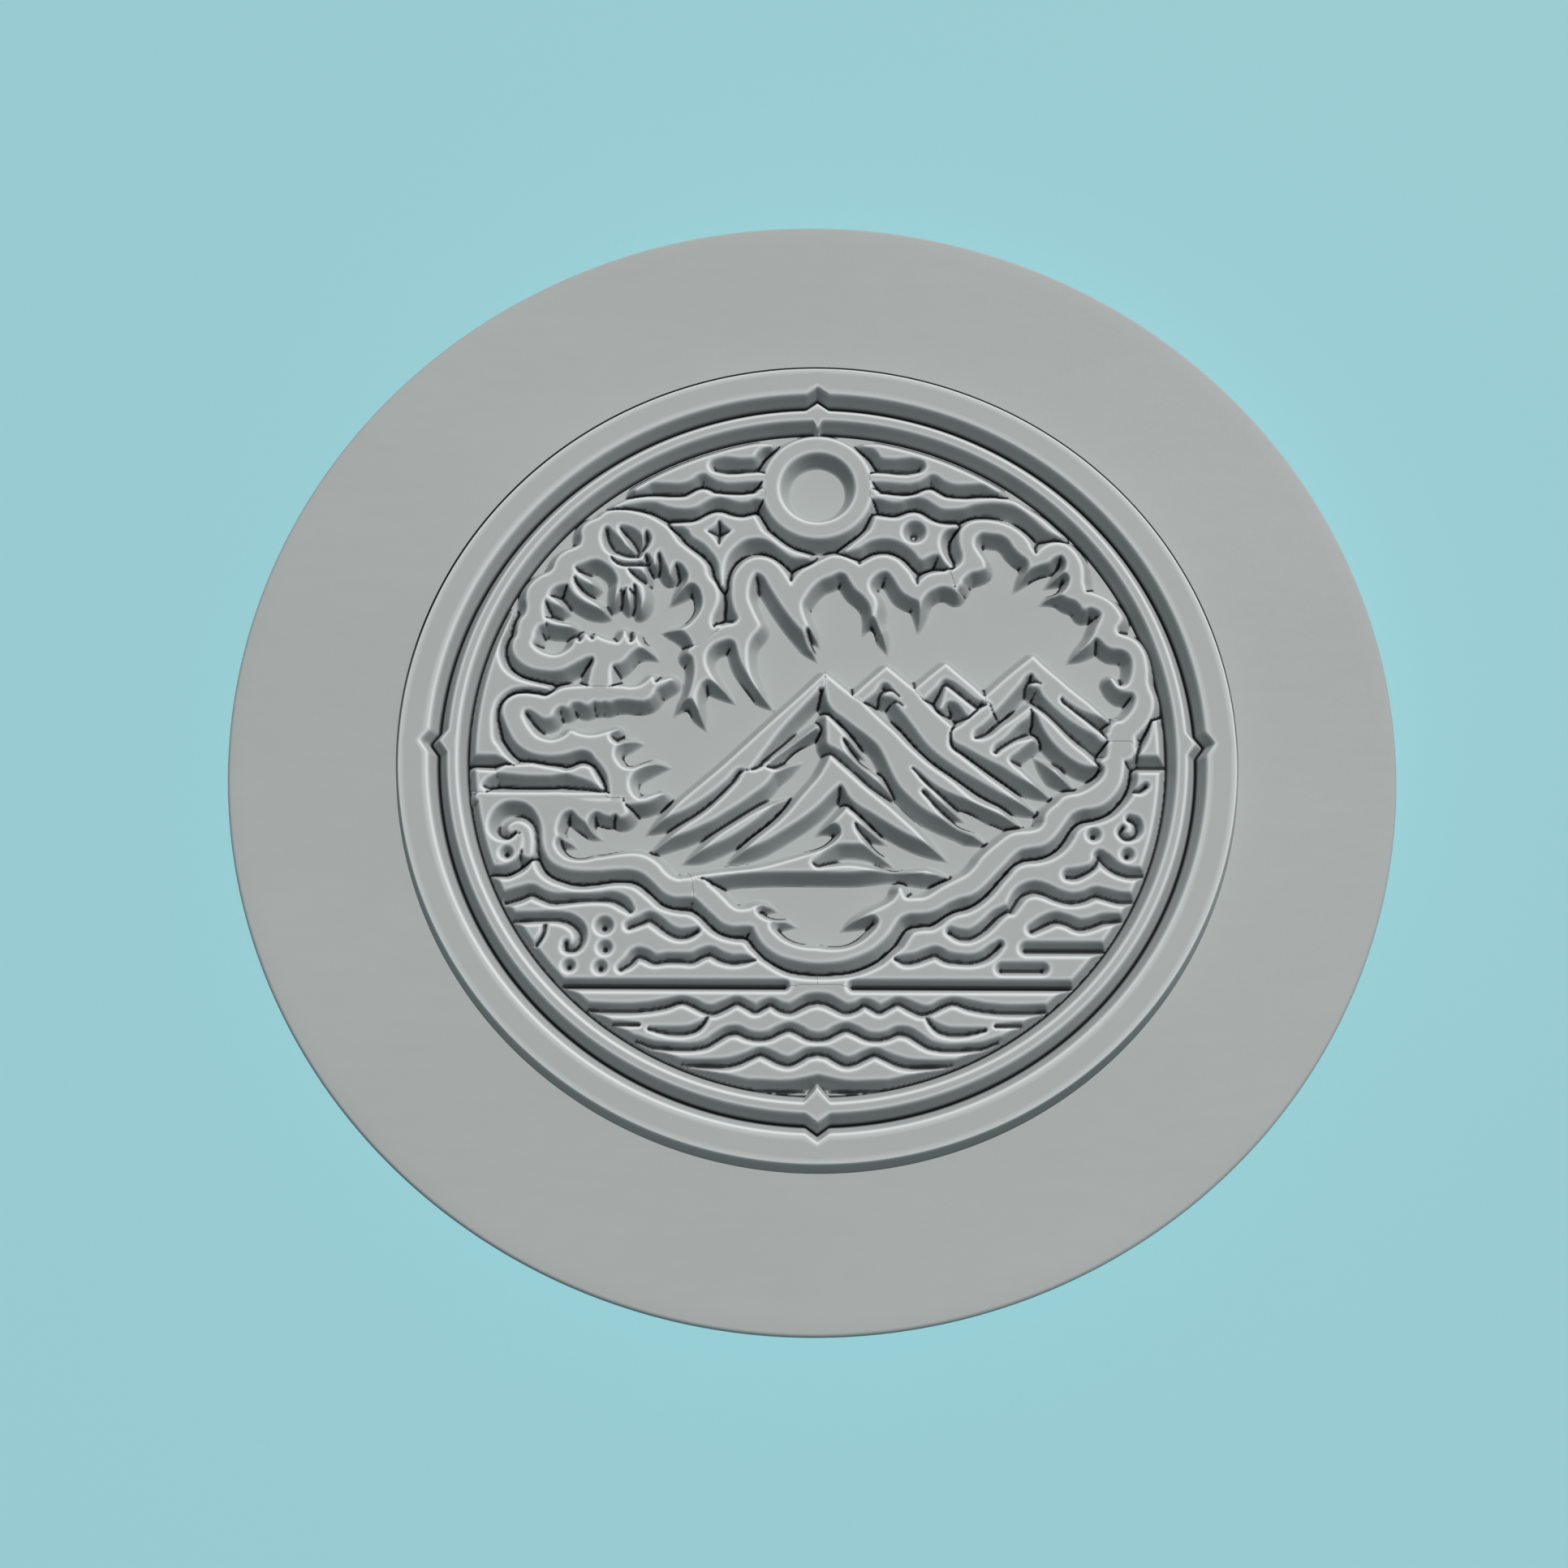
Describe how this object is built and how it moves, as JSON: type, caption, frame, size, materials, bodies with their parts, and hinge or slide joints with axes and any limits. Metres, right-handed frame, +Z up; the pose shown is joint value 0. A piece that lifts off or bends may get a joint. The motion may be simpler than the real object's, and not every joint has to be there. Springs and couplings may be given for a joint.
{
  "type": "ink stick",
  "caption": "Round pressed ink stick: a thick plain disc carrying a shallow raised landscape medallion with rims, clouds, a pine, peaks, a lake shore and water.",
  "frame": {"origin": "centre of the disc's bottom face", "axes": "+Z up through the disc, out of the medallion; +Y towards the top of the picture, where the sun is; +X to the picture's right"},
  "size_m": [0.09, 0.09, 0.0129],
  "materials": {
    "disc": "matte pressed grey cake, faintly grained",
    "floor": "matte pressed grey cake",
    "rims": "matte pressed grey cake with paler worn edges",
    "relief": "matte pressed grey cake with paler worn edges"
  },
  "bodies": {
    "root": {"base_disc": "disc", "medallion_floor": "floor", "rim_band": "rims", "notched_ring": "rims", "sun_ring": "relief", "cloud_left": "relief", "cloud_right": "relief", "cloud_strip_left": "relief", "cloud_strip_right": "relief", "sky_field_left": "relief", "sky_field_right": "relief", "pine_canopy": "relief", "pine_branch": "relief", "hanging_fronds": "relief", "right_canopy": "relief", "near_peak_west": "relief", "near_peak_east": "relief", "near_peak_front": "relief", "second_peak": "relief", "third_peak": "relief", "far_peak": "relief", "front_hill": "relief", "left_shore": "relief", "shore_band": "relief", "left_bank": "relief", "bank_ledge": "relief", "water_left": "relief", "water_right": "relief", "water_low": "relief"}
  },
  "joints": []
}
